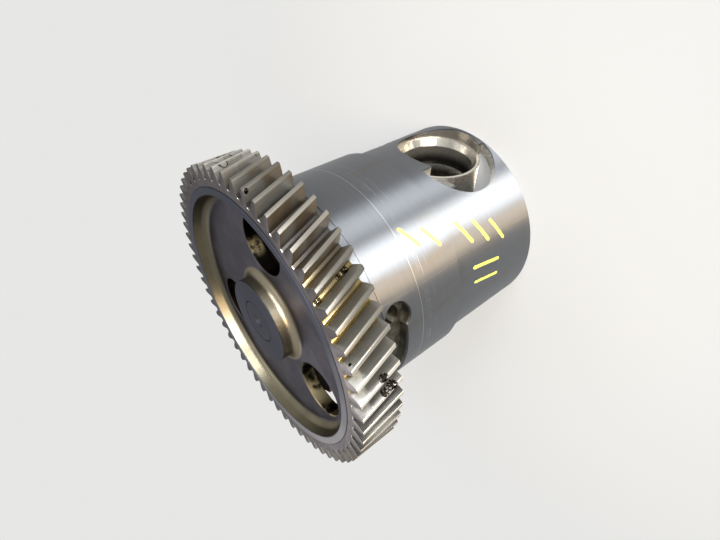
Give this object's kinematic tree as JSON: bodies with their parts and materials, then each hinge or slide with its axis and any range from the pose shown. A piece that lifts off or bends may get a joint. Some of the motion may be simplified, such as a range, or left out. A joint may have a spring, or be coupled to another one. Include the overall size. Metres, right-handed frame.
{
  "type": "oil pump",
  "caption": "Gear-driven engine oil pump: helical drive gear on a round three-part body with a side inlet port, a side outlet, an external gear pair inside and a relief valve.",
  "frame": {"origin": "bottom centre: on the drive shaft's axis, in the plane of the open end of the skirt", "axes": "+Z along the drive shaft, from the skirt's open end to the drive gear; +X out of the round inlet port; +Y completes a right-handed frame"},
  "size_m": [0.1646, 0.1646, 0.149],
  "materials": {
    "gear_steel": "satin, oily",
    "shaft_steel": "ground",
    "pump_gear_steel": "ground, oily",
    "bronze": "satin",
    "turned_iron": "turned bright",
    "bolt_steel": "dark, oily",
    "spring_steel": "satin"
  },
  "bodies": {
    "housing": {"rear_housing": "turned_iron", "gear_case": "turned_iron", "front_cover": "turned_iron", "front_bush": "bronze", "rear_bush": "bronze", "idler_shaft": "shaft_steel", "thrust_washer": "bronze", "case_bolts": "bolt_steel", "dowel_pins": "shaft_steel", "relief_plug": "shaft_steel", "relief_circlip": "spring_steel", "relief_spring": "spring_steel"},
    "rotor": {"drive_gear": "gear_steel", "drive_shaft": "shaft_steel", "drive_key": "shaft_steel", "pump_drive_gear": "pump_gear_steel"},
    "idler": {"pump_driven_gear": "pump_gear_steel", "driven_gear_bush": "bronze"},
    "relief_valve": {"relief_plunger": "shaft_steel"}
  },
  "joints": [
    {"name": "drive_spin", "type": "hinge", "parent": "housing", "child": "rotor", "pos_m": [0, 0, 0.0775], "axis": [0, 0, 1], "continuous": true},
    {"name": "driven_spin", "type": "hinge", "parent": "housing", "child": "idler", "pos_m": [0.035, 0, 0.0775], "axis": [0, 0, 1], "continuous": true},
    {"name": "relief_slide", "type": "slide", "parent": "housing", "child": "relief_valve", "axis": [0, 0, -1], "range_m": [0, 0.008], "stiffness_N_per_m": 3000, "springref_m": -0.01, "deforming": ["relief_spring"]}
  ],
  "couplings": [
    {"joint": "driven_spin", "follows": "drive_spin", "ratio": -1}
  ]
}
